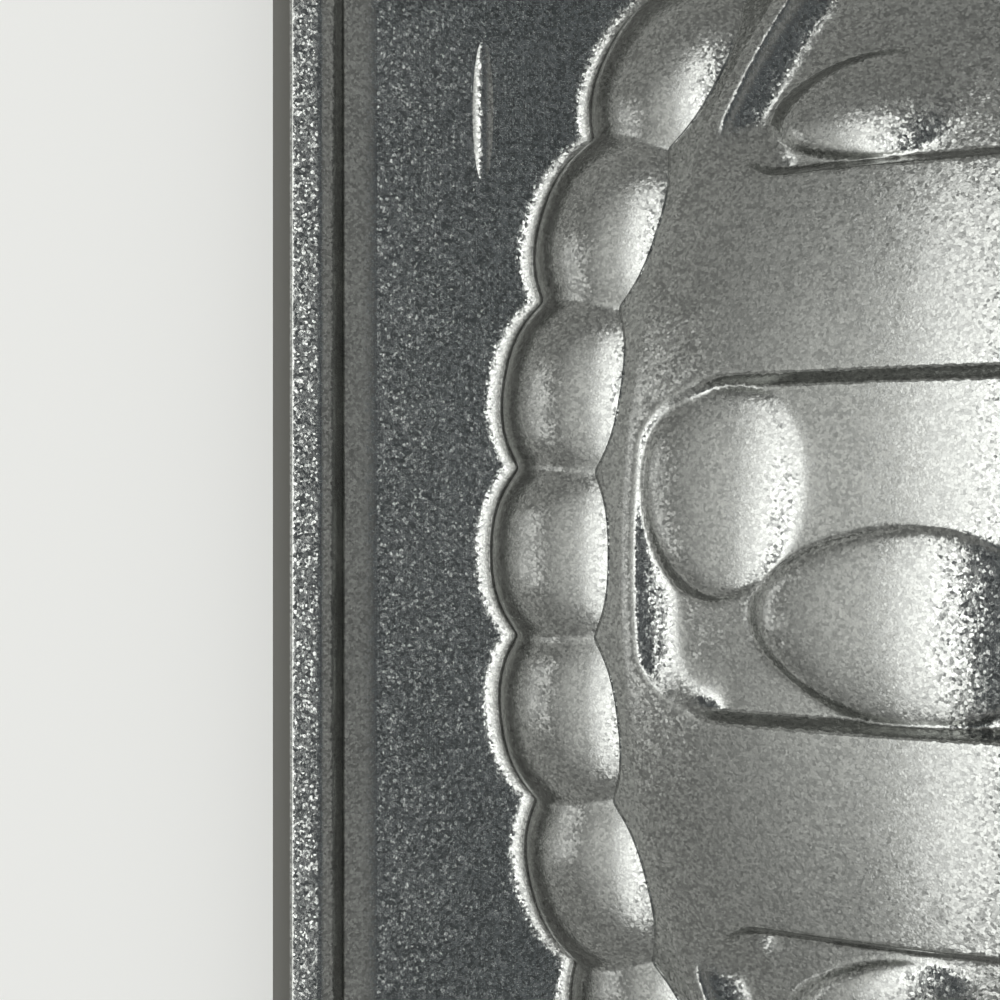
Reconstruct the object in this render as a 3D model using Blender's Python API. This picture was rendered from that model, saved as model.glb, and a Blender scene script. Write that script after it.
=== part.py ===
"""Easter egg muffin pan: one aluminium casting, lying upside down with its six egg wells standing up.

The pan rests on the face that is on top in use. Each well is an egg-shaped dome inside a ring of beads, with
three sunken bands that carry small raised eggs. The casting is divided into its plate, its edge lip and its
wells, with a narrow gap between them. Lengths are in metres: X across the pan, Y along it, Z up.
"""

import math

import bmesh
import bpy
from mathutils import Matrix, Vector

# The wells, two across and three along, and the least width of plate left between two of them
COLUMNS = 2
ROWS = 3
WELL_WEB = 0.0044

# The plate and its edge
PLATE_THICKNESS = 0.0030
EDGE_MARGIN = 0.0128
CORNER_RADIUS = 0.0240
CORNER_STEPS = 7
LIP_HEIGHT = 0.0021
LIP_WIDTH = 0.0046
LIP_FLARE = 0.0021
LIP_ROUNDING = 0.0007
LIP_FILLET = 0.0018
FILLET_STEPS = 3
PART_GAP = 0.0003

# One egg: the curve that the bead centres lie on, and the beads
EGG_HALF_WIDTH = 0.0333
EGG_BLUNT = 0.0453
EGG_POINTED = 0.0502
BEAD_COUNT = 29
BEAD_RADIUS = 0.0074
BEAD_SINK = 0.0011
VALLEY_FADE = 0.55
STEPS_PER_BEAD = 4
BEAD_SIDE = math.radians(47)
BEAD_TOP = math.radians(86)

# The dome inside the beads, and the metal under it
DOME_EDGE_RISE = 0.0064
DOME_RISE = 0.0126
WALL = 0.0030
COLLAR = 0.0022

# Where rings of faces lie on the dome and in the hollow, as shares of the way out to the egg curve, and how
# many steps of the egg curve each of their sides spans
DOME_SHARES = (0.86, 0.62, 0.34)
DOME_STEPS = (2, 2, 4)
HOLLOW_SHARES = (0.80, 0.45)
HOLLOW_STEPS = (4, 4)
PLAIN_STEPS = 2

# The sunken bands: the middle of each from the widest line of the egg, and its height along the egg
BAND_DEPTH = 0.0015
BAND_END_INSET = 0.0010
BAND_CORNER = 0.0034
BAND_STEPS_ACROSS = 6
BAND_STEPS_ALONG = 4
MIDDLE_BAND = (0.0006, 0.0174)
BLUNT_BAND = (0.0268, 0.0132)
POINTED_BAND = (-0.0258, 0.0132)

# Small eggs lying on the bands: across as a share of the egg's half width, up from the band's middle,
# half length, half width, and the turn of the pointed end from +Y
SMALL_EGG_RISE = 0.0015
SMALL_EGG_SINK = 0.0010
SMALL_EGG_TAPER = 0.14
SMALL_EGG_SIDES = 8
MIDDLE_EGGS = (
    (-0.845, 0.0030, 0.0061, 0.0053, 175),
    (-0.625, -0.0035, 0.0082, 0.0056, 84),
    (-0.325, 0.0026, 0.0061, 0.0051, 160),
    (-0.030, -0.0034, 0.0081, 0.0056, -96),
    (0.245, 0.0028, 0.0061, 0.0050, 200),
    (0.525, -0.0033, 0.0081, 0.0056, 82),
    (0.830, 0.0026, 0.0061, 0.0053, 170),
)
BLUNT_EGGS = (
    (-0.613, -0.0034, 0.0058, 0.0034, 98),
    (-0.310, 0.0032, 0.0056, 0.0034, 84),
    (0.000, -0.0033, 0.0058, 0.0034, -92),
    (0.310, 0.0032, 0.0056, 0.0034, -84),
    (0.613, -0.0034, 0.0058, 0.0034, -98),
)
POINTED_EGGS = (
    (-0.590, 0.0029, 0.0058, 0.0034, 98),
    (-0.300, -0.0033, 0.0056, 0.0034, 84),
    (0.000, 0.0033, 0.0058, 0.0034, 92),
    (0.300, -0.0033, 0.0056, 0.0034, -84),
    (0.590, 0.0029, 0.0058, 0.0034, -98),
)

# How far cutters run past what they cut, the distance below which vertices are one, the number of points that
# measure each step of the egg curve, and the half step over which the dome's slope is measured
CUT = 0.0010
MERGE = 0.000001
CURVE_POINTS = 24
SLOPE_STEP = 0.0007


def egg_curve(angle, spread=0.0):
    """A point of the egg curve, moved outward by the spread, and the outward direction there."""
    length = EGG_BLUNT if math.sin(angle) > 0 else EGG_POINTED
    point = Vector((EGG_HALF_WIDTH * math.cos(angle), length * math.sin(angle), 0))
    outward = Vector((length * math.cos(angle), EGG_HALF_WIDTH * math.sin(angle), 0)).normalized()
    return point + outward * spread, outward


def egg_stations():
    """Equal steps along the egg curve from its blunt end, with the way from each to its nearest bead."""
    count = BEAD_COUNT * STEPS_PER_BEAD
    fine = CURVE_POINTS * count
    angles = [math.pi / 2 + 2 * math.pi * i / fine for i in range(fine + 1)]
    points = [egg_curve(angle)[0] for angle in angles]
    travelled = [0.0]
    for last, point in zip(points, points[1:]):
        travelled.append(travelled[-1] + (point - last).length)
    total = travelled[-1]
    bead_pitch = total / BEAD_COUNT
    stations = []
    place = 0
    for step in range(count):
        goal = total * step / count
        while travelled[place + 1] < goal:
            place += 1
        angle = angles[place]
        off_bead = abs((goal / bead_pitch + 0.5) % 1 - 0.5) * bead_pitch
        stations.append((angle, off_bead))
    return stations


def dome_height(x, y, inset=0.0):
    """Height of the dome above the table, or of the hollow under it where the inset is the wall."""
    length = EGG_BLUNT if y > 0 else EGG_POINTED
    share = (x / EGG_HALF_WIDTH) ** 2 + (y / length) ** 2
    slope = 2 * DOME_RISE * math.sqrt(share) / EGG_HALF_WIDTH
    top = PLATE_THICKNESS + DOME_EDGE_RISE + DOME_RISE * (1 - share)
    return top - inset * math.sqrt(1 + slope * slope)


def held(stations, hold):
    """The stations with each group of this many standing at the first of its group."""
    return [stations[i - i % hold] for i in range(len(stations))]


def flat_ring(stations, spread, z, hold):
    """A level ring that follows the egg curve at a distance outside it."""
    return [egg_curve(angle, spread)[0] + Vector((0, 0, z)) for angle, _ in held(stations, hold)]


def bead_ring(stations, slope, inset, hold):
    """A ring over the beads at one angle up their sides. The valleys between them fade towards the top."""
    fade = 1 - (1 - VALLEY_FADE) * math.sin(slope) ** 2
    ring = []
    for angle, off_bead in held(stations, hold):
        radius = math.sqrt(max(BEAD_RADIUS**2 - (off_bead * fade) ** 2, 0)) - inset
        point, _ = egg_curve(angle, radius * math.cos(slope))
        point.z = PLATE_THICKNESS - BEAD_SINK + radius * math.sin(slope)
        ring.append(point)
    return ring


def dome_ring(stations, share, inset, hold):
    """A ring over the dome, at a share of the way from its top to the egg curve."""
    ring = []
    for angle, _ in held(stations, hold):
        point = egg_curve(angle)[0] * share
        point.z = dome_height(point.x, point.y, inset)
        ring.append(point)
    return ring


def grow(bm, ring, points):
    """Extrudes a closed ring of vertices and moves the new ring to the points."""
    edges = [bm.edges.get((ring[i - 1], ring[i])) for i in range(len(ring))]
    made = bmesh.ops.extrude_edge_only(bm, edges=edges)["geom"]
    fresh = {item for item in made if isinstance(item, bmesh.types.BMVert)}
    grown = []
    for vertex, point in zip(ring, points):
        partner = next(e.other_vert(vertex) for e in vertex.link_edges if e.other_vert(vertex) in fresh)
        partner.co = point
        grown.append(partner)
    return grown


def first_ring(bm, points, cap):
    """A circle of vertices, with or without its face, moved to the points."""
    made = bmesh.ops.create_circle(bm, cap_ends=cap, segments=len(points), radius=1)
    for vertex, point in zip(made["verts"], points):
        vertex.co = point
    return made["verts"]


def finish(bm, name, smooth_below=35):
    """Merges doubled vertices, turns the faces outward and makes the object."""
    bmesh.ops.remove_doubles(bm, verts=bm.verts, dist=MERGE)
    bmesh.ops.dissolve_degenerate(bm, edges=bm.edges, dist=MERGE)
    bmesh.ops.recalc_face_normals(bm, faces=bm.faces)
    mesh = bpy.data.meshes.new(name)
    bm.to_mesh(mesh)
    bm.free()
    mesh.shade_smooth()
    mesh.set_sharp_from_angle(angle=math.radians(smooth_below))
    thing = bpy.data.objects.new(name, mesh)
    bpy.context.scene.collection.objects.link(thing)
    return thing


def stacked(name, rings, tip=None):
    """A closed solid from rings of vertices, the first one capped and the last closed by a cap or a tip."""
    bm = bmesh.new()
    ring = first_ring(bm, rings[0], cap=True)
    for points in rings[1:]:
        ring = grow(bm, ring, points)
    if tip is None:
        bmesh.ops.contextual_create(bm, geom=ring)
    else:
        grow(bm, ring, [tip] * len(ring))
    return finish(bm, name)


def as_cutter(thing):
    thing.hide_render = True
    thing.display_type = "WIRE"
    return thing


def combine(thing, other, operation):
    """Adds a Boolean modifier that cuts the other object from this one, or joins on its touching shapes."""
    modifier = thing.modifiers.new(other.name, "BOOLEAN")
    modifier.operation = operation
    modifier.solver = "EXACT"
    modifier.use_self = operation == "UNION"
    modifier.object = as_cutter(other)


def band_reach(y):
    """Half the length of a band's floor at a distance from the widest line."""
    length = EGG_BLUNT if y > 0 else EGG_POINTED
    return EGG_HALF_WIDTH * math.sqrt(1 - (y / length) ** 2) - BAND_END_INSET


def band_cutter(name, band):
    """A block with round corners whose underside follows the dome, one band's depth below it."""
    middle, height = band
    bm = bmesh.new()
    bmesh.ops.create_grid(bm, x_segments=BAND_STEPS_ACROSS, y_segments=BAND_STEPS_ALONG, size=1)
    for vertex in bm.verts:
        along = math.sin(vertex.co.y * math.pi / 2)
        y = middle + along * height / 2
        reach = band_reach(y) - BAND_CORNER * (1 - math.sqrt(max(1 - along**4, 0)))
        x = vertex.co.x * reach
        vertex.co = (x, y, dome_height(x, y) - BAND_DEPTH)
    top = bmesh.ops.extrude_face_region(bm, geom=bm.faces[:])["geom"]
    for item in top:
        if isinstance(item, bmesh.types.BMVert):
            item.co.z = PLATE_THICKNESS + DOME_EDGE_RISE + DOME_RISE + BAND_DEPTH
    return finish(bm, name)


def small_eggs(name, bands):
    """The small eggs of every band, each tilted to lie on the dome, with its lower half inside the metal."""
    bm = bmesh.new()
    for (middle, _), eggs in bands:
        for across, up, half_length, half_width, turn in eggs:
            x = across * EGG_HALF_WIDTH
            y = middle + up
            made = bmesh.ops.create_uvsphere(
                bm, u_segments=SMALL_EGG_SIDES, v_segments=SMALL_EGG_SIDES // 2, radius=1
            )["verts"]
            for vertex in made:
                taper = 1 - SMALL_EGG_TAPER * vertex.co.y
                vertex.co.x *= half_width * taper
                vertex.co.y *= half_length
                vertex.co.z *= SMALL_EGG_RISE + SMALL_EGG_SINK
            lean = Vector((
                (dome_height(x - SLOPE_STEP, y) - dome_height(x + SLOPE_STEP, y)) / (2 * SLOPE_STEP),
                (dome_height(x, y - SLOPE_STEP) - dome_height(x, y + SLOPE_STEP)) / (2 * SLOPE_STEP),
                1,
            ))
            seat = Vector((x, y, dome_height(x, y) - BAND_DEPTH)) - lean.normalized() * SMALL_EGG_SINK
            tilt = Vector((0, 0, 1)).rotation_difference(lean).to_matrix().to_4x4()
            place = Matrix.Translation(seat) @ tilt @ Matrix.Rotation(math.radians(turn), 4, "Z")
            bmesh.ops.transform(bm, matrix=place, verts=made)
    return finish(bm, name)


def baked(thing, name):
    """The mesh that the object's modifiers make, under a new name."""
    graph = bpy.context.evaluated_depsgraph_get()
    mesh = bpy.data.meshes.new_from_object(thing.evaluated_get(graph))
    mesh.name = name
    return mesh


def hollow_form(stations):
    """The space that the cake fills, run down past the table face so that it cuts the well open."""
    mouth = bead_ring(stations, 0, WALL, PLAIN_STEPS)
    below = [Vector((point.x, point.y, -CUT)) for point in mouth]
    sides = [bead_ring(stations, slope, WALL, PLAIN_STEPS) for slope in (BEAD_SIDE, BEAD_TOP)]
    dome = [dome_ring(stations, share, WALL, hold) for share, hold in zip(HOLLOW_SHARES, HOLLOW_STEPS)]
    return stacked("hollow_form", [below, mouth] + sides + dome, tip=Vector((0, 0, dome_height(0, 0, WALL))))


def outer_form(stations):
    """The collar that sits in the plate, the ring of beads on it and the dome inside them."""
    collar = [flat_ring(stations, well_foot(), z, PLAIN_STEPS) for z in (0, PLATE_THICKNESS)]
    low = math.asin(BEAD_SINK / BEAD_RADIUS)
    beads = [bead_ring(stations, slope, 0, 1) for slope in (low, BEAD_SIDE, BEAD_TOP)]
    dome = [dome_ring(stations, share, 0, hold) for share, hold in zip(DOME_SHARES, DOME_STEPS)]
    return stacked("outer_form", collar + beads + dome, tip=Vector((0, 0, dome_height(0, 0))))


def well_mesh():
    """One egg well: the outer form with its bands and small eggs, less the hollow that the cake fills."""
    stations = egg_stations()
    well = outer_form(stations)
    bands = ((MIDDLE_BAND, MIDDLE_EGGS), (BLUNT_BAND, BLUNT_EGGS), (POINTED_BAND, POINTED_EGGS))
    for number, (band, _) in enumerate(bands, 1):
        combine(well, band_cutter(f"band_{number}", band), "DIFFERENCE")
    combine(well, small_eggs("small_eggs", bands), "UNION")
    combine(well, hollow_form(stations), "DIFFERENCE")
    mesh = baked(well, "egg_well")
    for helper in list(bpy.data.objects):
        bpy.data.objects.remove(helper)
    return mesh


def bead_foot():
    """How far the beads stand out from the egg curve where they meet the plate."""
    return math.sqrt(BEAD_RADIUS**2 - BEAD_SINK**2)


def well_foot():
    """How far a well's collar reaches out from the egg curve."""
    return bead_foot() + COLLAR


def well_pitch():
    """Distances between the axes of neighbouring wells, across and along the pan."""
    across = 2 * (EGG_HALF_WIDTH + well_foot()) + WELL_WEB
    along = EGG_BLUNT + EGG_POINTED + 2 * well_foot() + WELL_WEB
    return across, along


def pan_half_size():
    """Half the pan's width and half its length, at the table."""
    across, along = well_pitch()
    reach = bead_foot() + EDGE_MARGIN
    half_x = (COLUMNS - 1) * across / 2 + EGG_HALF_WIDTH + reach
    half_y = (ROWS - 1) * along / 2 + (EGG_BLUNT + EGG_POINTED) / 2 + reach
    return half_x, half_y


def well_places():
    """Where the widest line of each egg crosses its axis, so that the eggs as a whole are centred."""
    across, along = well_pitch()
    rise = (EGG_POINTED - EGG_BLUNT) / 2
    for row in range(ROWS):
        for column in range(COLUMNS):
            x = (column - (COLUMNS - 1) / 2) * across
            y = ((ROWS - 1) / 2 - row) * along + rise
            yield Vector((x, y, 0))


def edge_ring(inward, z):
    """A level ring with round corners, this far in from the pan's edge."""
    half_x, half_y = pan_half_size()
    radius = CORNER_RADIUS - inward
    ring = []
    for turn, sign_x, sign_y in ((0, 1, 1), (1, -1, 1), (2, -1, -1), (3, 1, -1)):
        corner = Vector((sign_x * (half_x - CORNER_RADIUS), sign_y * (half_y - CORNER_RADIUS), z))
        for step in range(CORNER_STEPS + 1):
            angle = math.pi / 2 * (turn + step / CORNER_STEPS)
            ring.append(corner + radius * Vector((math.cos(angle), math.sin(angle), 0)))
    return ring


def make_lip():
    """The raised lip: a flared outer face, a flat top and a rounded inner edge."""
    top = PLATE_THICKNESS + LIP_HEIGHT
    profile = (
        (0, 0),
        (LIP_FLARE, top),
        (LIP_WIDTH - LIP_ROUNDING, top),
        (LIP_WIDTH, top - LIP_ROUNDING),
        (LIP_WIDTH, 0),
    )
    bm = bmesh.new()
    start = first_ring(bm, edge_ring(*profile[0]), cap=False)
    ring = start
    for inward, z in profile[1:]:
        ring = grow(bm, ring, edge_ring(inward, z))
    edges = [bm.edges.get((loop[i - 1], loop[i])) for loop in (start, ring) for i in range(len(loop))]
    bmesh.ops.bridge_loops(bm, edges=edges)
    return finish(bm, "edge_lip")


def make_plate():
    """The flat plate with a fillet that runs up to the lip, and a hole for every well."""
    edge = LIP_WIDTH + PART_GAP
    rings = [edge_ring(edge, 0)]
    for step in range(FILLET_STEPS + 1):
        turn = math.pi / 2 * step / FILLET_STEPS
        rise = (LIP_HEIGHT - LIP_ROUNDING) * (1 - math.sin(turn))
        rings.append(edge_ring(edge + LIP_FILLET * (1 - math.cos(turn)), PLATE_THICKNESS + rise))
    plate = stacked("plate", rings)
    stations = egg_stations()
    opening = well_foot() + PART_GAP
    for number, place in enumerate(well_places(), 1):
        sides = [flat_ring(stations, opening, z, PLAIN_STEPS) for z in (-CUT, PLATE_THICKNESS + CUT)]
        hole = stacked(f"well_hole_{number}", sides)
        hole.location = place
        combine(plate, hole, "DIFFERENCE")
    return plate


def coat(thing, name):
    """Satin silver coat with metal flakes over cast aluminium."""
    material = bpy.data.materials.new(name)
    material.use_nodes = True
    shader = material.node_tree.nodes["Principled BSDF"]
    shader.inputs["Base Color"].default_value = (0.50, 0.51, 0.50, 1)
    shader.inputs["Metallic"].default_value = 0.85
    shader.inputs["Roughness"].default_value = 0.38
    thing.data.materials.clear()
    thing.data.materials.append(material)


def main():
    for thing in list(bpy.data.objects):
        bpy.data.objects.remove(thing)
    well = well_mesh()
    pan = bpy.data.objects.new("egg_muffin_pan", None)
    bpy.context.scene.collection.objects.link(pan)
    pieces = [make_plate(), make_lip()]
    for number, place in enumerate(well_places(), 1):
        thing = bpy.data.objects.new(f"egg_well_{number}", well.copy())
        bpy.context.scene.collection.objects.link(thing)
        thing.location = place
        pieces.append(thing)
    for piece in pieces:
        piece.parent = pan
        coat(piece, piece.name + "_coat")


main()
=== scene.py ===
# %% [markdown]
# An egg muffin pan, lying upside down
#
# The pan is one aluminium casting with six egg wells, seen here from its outside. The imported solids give
# every size and place. This lesson dresses each of them in a finer surface of the same form: the rings of
# beads with their creases, the sunken bands, the small raised eggs, and a silver coat full of metal flakes.

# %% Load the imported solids
import math

import bmesh
import bpy
import numpy as np
from mathutils import Matrix, Vector


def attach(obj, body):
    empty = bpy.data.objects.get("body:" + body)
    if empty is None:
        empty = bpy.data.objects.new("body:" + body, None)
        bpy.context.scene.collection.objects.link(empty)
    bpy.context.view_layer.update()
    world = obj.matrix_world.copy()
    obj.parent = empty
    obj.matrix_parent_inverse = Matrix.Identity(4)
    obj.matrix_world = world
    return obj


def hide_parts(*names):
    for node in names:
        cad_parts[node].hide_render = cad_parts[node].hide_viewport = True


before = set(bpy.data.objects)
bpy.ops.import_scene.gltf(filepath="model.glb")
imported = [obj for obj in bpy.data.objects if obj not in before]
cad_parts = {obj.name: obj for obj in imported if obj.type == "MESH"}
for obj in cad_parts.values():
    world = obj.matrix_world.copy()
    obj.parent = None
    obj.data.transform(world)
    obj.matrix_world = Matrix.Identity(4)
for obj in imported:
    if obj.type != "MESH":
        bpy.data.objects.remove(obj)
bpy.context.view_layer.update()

print("solids:", sorted(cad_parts))

# %% [markdown]
# Sizes of the casting
#
# The finer surfaces repeat the solids' own measures, in metres, so that each lands exactly where its solid
# is. A maker would keep these on the drawing of the pattern: two wells across and three along, a flat plate,
# a raised lip round it, and one egg drawn as two half ellipses of unlike length that share their width.

# %% Sizes of the casting
COLUMNS = 2
ROWS = 3
WELL_WEB = 0.0044
PLATE_THICKNESS = 0.0030
EDGE_MARGIN = 0.0128
CORNER_RADIUS = 0.0240
LIP_HEIGHT = 0.0021
LIP_FLARE = 0.0021
LIP_FOOT = 0.00465
PART_GAP = 0.0003
EGG_HALF_WIDTH = 0.0333
EGG_BLUNT = 0.0453
EGG_POINTED = 0.0502
BEAD_COUNT = 29
BEAD_RADIUS = 0.0074
BEAD_SINK = 0.0011
DOME_EDGE_RISE = 0.0064
DOME_RISE = 0.0126
WALL = 0.0030
COLLAR = 0.0022

bead_foot = math.sqrt(BEAD_RADIUS**2 - BEAD_SINK**2)
well_foot = bead_foot + COLLAR
pitch_across = 2 * (EGG_HALF_WIDTH + well_foot) + WELL_WEB
pitch_along = EGG_BLUNT + EGG_POINTED + 2 * well_foot + WELL_WEB
half_x = (COLUMNS - 1) * pitch_across / 2 + EGG_HALF_WIDTH + bead_foot + EDGE_MARGIN
half_y = (ROWS - 1) * pitch_along / 2 + (EGG_BLUNT + EGG_POINTED) / 2 + bead_foot + EDGE_MARGIN
print("pan, mm:", round(2000 * half_x, 1), "by", round(2000 * half_y, 1))

# %% [markdown]
# A way to write shaders
#
# A material in Blender is a graph of nodes. Wiring it by hand gets long, so two small classes help. A wire
# is one output socket, and writing an operator between wires, or between a wire and a number, adds the Math
# node for it. The bench adds any other node from its type, its settings and the values of its sockets.

# %% Wires and the bench
class Wire:
    """An output socket that takes part in sums."""

    def __init__(self, bench, socket):
        self.bench = bench
        self.socket = socket

    def __add__(self, other):
        return self.bench.maths("ADD", self, other)

    def __radd__(self, other):
        return self.bench.maths("ADD", other, self)

    def __sub__(self, other):
        return self.bench.maths("SUBTRACT", self, other)

    def __rsub__(self, other):
        return self.bench.maths("SUBTRACT", other, self)

    def __mul__(self, other):
        return self.bench.maths("MULTIPLY", self, other)

    def __truediv__(self, other):
        return self.bench.maths("DIVIDE", self, other)

    def __pow__(self, other):
        return self.bench.maths("POWER", self, other)


class Bench:
    """The node tree of one material or world, with the ways to add to it."""

    def __init__(self, owner):
        owner.use_nodes = True
        self.tree = owner.node_tree

    def node(self, kind, settings=None, sockets=None, out=0):
        """Adds a node: its settings first, then the values or wires of its sockets. Returns one output."""
        made = self.tree.nodes.new(kind)
        for name, value in (settings or {}).items():
            if name == "stops":
                self.set_stops(made.color_ramp, value)
            else:
                setattr(made, name, value)
        for name, value in (sockets or {}).items():
            self.feed(made.inputs[name], value)
        return Wire(self, made.outputs[out])

    def set_stops(self, ramp, stops):
        while len(ramp.elements) < len(stops):
            ramp.elements.new(1)
        for element, (position, colour) in zip(ramp.elements, stops):
            element.position = position
            element.color = (*colour, 1)

    def feed(self, socket, value):
        if isinstance(value, Wire):
            self.tree.links.new(value.socket, socket)
        else:
            socket.default_value = value

    def maths(self, operation, first, second):
        return self.node("ShaderNodeMath", {"operation": operation}, {0: first, 1: second})

    def clamped(self, low, high, wire):
        """The wire, spread so that low becomes 0 and high becomes 1, and held between them."""
        return self.node("ShaderNodeMapRange", None, {"Value": wire, "From Min": low, "From Max": high})

    def blend(self, factor, first, second):
        """A colour between two colours."""
        return self.node(
            "ShaderNodeMix", {"data_type": "RGBA"}, {0: factor, 6: first, 7: second}, out=2
        )


# %% [markdown]
# The camera
#
# The photograph looks straight down from close above one side of the pan, over the left well of the middle
# row. So the camera stands 84 mm above the plate and points down, with no turn and no shift.

# %% The camera
LENS = 52.2
CAMERA_SPOT = (-0.08477, 0.00559)
CAMERA_HEIGHT = 0.084

photo_camera = bpy.data.objects.new("photo_camera", bpy.data.cameras.new("photo_camera"))
photo_camera.data.lens = LENS
photo_camera.data.sensor_width = 36
photo_camera.data.clip_start = 0.005
photo_camera.location = (*CAMERA_SPOT, PLATE_THICKNESS + CAMERA_HEIGHT)
bpy.context.scene.collection.objects.link(photo_camera)
bpy.context.scene.camera = photo_camera
bpy.context.scene.view_settings.view_transform = "Standard"
print("camera, mm:", [round(value * 1000, 2) for value in photo_camera.location])

# %% [markdown]
# The table and the room
#
# Polished and flaked metal shows its surroundings more than its own colour, so the room matters as much as
# the coat. It is a plain pale room that gets a little darker upward, with a bright glow high on the left and
# a small dark place right overhead, as there is when somebody leans over a table to look straight down at it.
# The table is a pale plain sheet.

# %% The table
TABLE_HALF = 4
TABLE_DROP = 0.00005
TABLE_DARK = (0.91, 0.91, 0.885, 1)
TABLE_LIGHT = (0.935, 0.935, 0.91, 1)
TABLE_ROUGHNESS = 0.7
MOTTLE_SCALE = 9
MOTTLE_DETAIL = 3

table_mesh = bpy.data.meshes.new("table")
bm = bmesh.new()
bmesh.ops.create_grid(bm, x_segments=1, y_segments=1, size=TABLE_HALF)
bm.to_mesh(table_mesh)
bm.free()
table = bpy.data.objects.new("table", table_mesh)
table.location = (0, 0, -TABLE_DROP)
bpy.context.scene.collection.objects.link(table)
table_paint = bpy.data.materials.new("pale_table")
bench = Bench(table_paint)
spot = bench.node("ShaderNodeTexCoord", out="Object")
mottle_sockets = {"Vector": spot, "Scale": MOTTLE_SCALE, "Detail": MOTTLE_DETAIL}
mottle = bench.node("ShaderNodeTexNoise", None, mottle_sockets)
shader = bench.tree.nodes["Principled BSDF"]
bench.feed(shader.inputs["Base Color"], bench.blend(mottle, TABLE_DARK, TABLE_LIGHT))
shader.inputs["Roughness"].default_value = TABLE_ROUGHNESS
table_mesh.materials.append(table_paint)

# %% The room
WALL_STOPS = (
    (0.00, (0.62, 0.62, 0.605)),
    (0.30, (0.55, 0.55, 0.535)),
    (0.50, (0.50, 0.50, 0.49)),
    (1.00, (0.50, 0.505, 0.50)),
)
GLOW_COLOUR = (1.50, 1.50, 1.47, 1)
SHADE_COLOUR = (0.40, 0.405, 0.40, 1)
SHADE_STRENGTH = 0.1
OVERHEAD_COLOUR = (0.13, 0.15, 0.17, 1)
OVERHEAD_ACROSS = 0.27
OVERHEAD_ALONG = 0.62

# Each pair says where a part of the room begins and where it has its full strength.
GLOW_ACROSS = (-0.46, -0.66)
GLOW_HEIGHT = (0.50, 0.72)
SHADE_ACROSS = (0.05, 0.45)
OVERHEAD_EDGE = (1.25, 0.80)
OVERHEAD_HEIGHT = (0.0, 0.3)

room = bpy.data.worlds.new("pale_room")
bpy.context.scene.world = room
bench = Bench(room)
direction = bench.node("ShaderNodeTexCoord", out="Generated")
across = bench.node("ShaderNodeSeparateXYZ", None, {"Vector": direction}, out="X")
along = bench.node("ShaderNodeSeparateXYZ", None, {"Vector": direction}, out="Y")
height = bench.node("ShaderNodeSeparateXYZ", None, {"Vector": direction}, out="Z")
walls = bench.node("ShaderNodeValToRGB", {"stops": WALL_STOPS}, {"Fac": height})
left_glow = bench.clamped(*GLOW_ACROSS, across) * bench.clamped(*GLOW_HEIGHT, height)
right_shade = bench.clamped(*SHADE_ACROSS, across)
walls = bench.blend(left_glow, walls, GLOW_COLOUR)
walls = bench.blend(right_shade * SHADE_STRENGTH, walls, SHADE_COLOUR)
from_overhead = (across / OVERHEAD_ACROSS) ** 2 + (along / OVERHEAD_ALONG) ** 2
overhead = bench.clamped(*OVERHEAD_EDGE, from_overhead) * bench.clamped(*OVERHEAD_HEIGHT, height)
bench.feed(bench.tree.nodes["Background"].inputs["Color"], bench.blend(overhead, walls, OVERHEAD_COLOUR))
bench.tree.nodes["Background"].inputs["Strength"].default_value = 1.0

# %% [markdown]
# The lamps
#
# One broad soft lamp, with a brighter core, hangs to the left of straight overhead. It gives the white line
# along the foot of every bead and the bright grains on the sides that lean a little to the left. A window
# with two panes stands low on the left and leaves faint pale patches on the steep outer sides of the beads.
# Each row below holds a lamp's name, its place, the point it shines at, its width, depth and radiance. The
# energy that Blender asks for is the radiance times the lamp's area, times four.

# %% The lamps
LAMPS = (
    ("overhead_lamp", (-0.520, 0.0, 1.0), (-0.520, 0.0, 0.0), 0.38, 1.7, 2.15),
    ("lamp_core", (-0.41, 0.0, 0.99), (-0.41, 0.0, 0.0), 0.16, 0.80, 1.4),
    ("window_pane_1", (-1.35, 0.22, 0.40), (-0.085, 0.0, 0.0), 0.34, 0.46, 0.9),
    ("window_pane_2", (-1.35, -0.18, 0.40), (-0.085, 0.0, 0.0), 0.34, 0.46, 0.9),
)
LAMP_FACTOR = 4


def soft_lamp(name, place, aim, width, depth, radiance):
    """A rectangular lamp that shines from place towards aim, with an even brightness over its face."""
    lamp = bpy.data.lights.new(name, "AREA")
    lamp.shape = "RECTANGLE"
    lamp.size = width
    lamp.size_y = depth
    lamp.energy = LAMP_FACTOR * radiance * width * depth
    thing = bpy.data.objects.new(name, lamp)
    thing.location = place
    thing.rotation_euler = (Vector(aim) - Vector(place)).to_track_quat("-Z", "Y").to_euler()
    thing.visible_camera = False
    bpy.context.scene.collection.objects.link(thing)


for lamp in LAMPS:
    soft_lamp(*lamp)

# %% [markdown]
# Growing a surface ring by ring
#
# A cast form like this is round about one egg-shaped line. It could be sculpted, or cut from solid blocks,
# but the plainest way is a stack of rings: make a circle of vertices, extrude its edges, and move the new
# circle into place. Each ring follows the egg at its own distance and height.

# %% Ring helpers
DOUBLED = 0.0000005
SMOOTH_BELOW = math.radians(40)


def first_ring(bm, points):
    """A circle of vertices without a face, moved to the points."""
    made = bmesh.ops.create_circle(bm, cap_ends=False, segments=len(points), radius=1)["verts"]
    for vertex, point in zip(made, points):
        vertex.co = point
    return list(made)


def ring_edges(bm, ring):
    return [bm.edges.get((ring[i - 1], ring[i])) for i in range(len(ring))]


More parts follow.
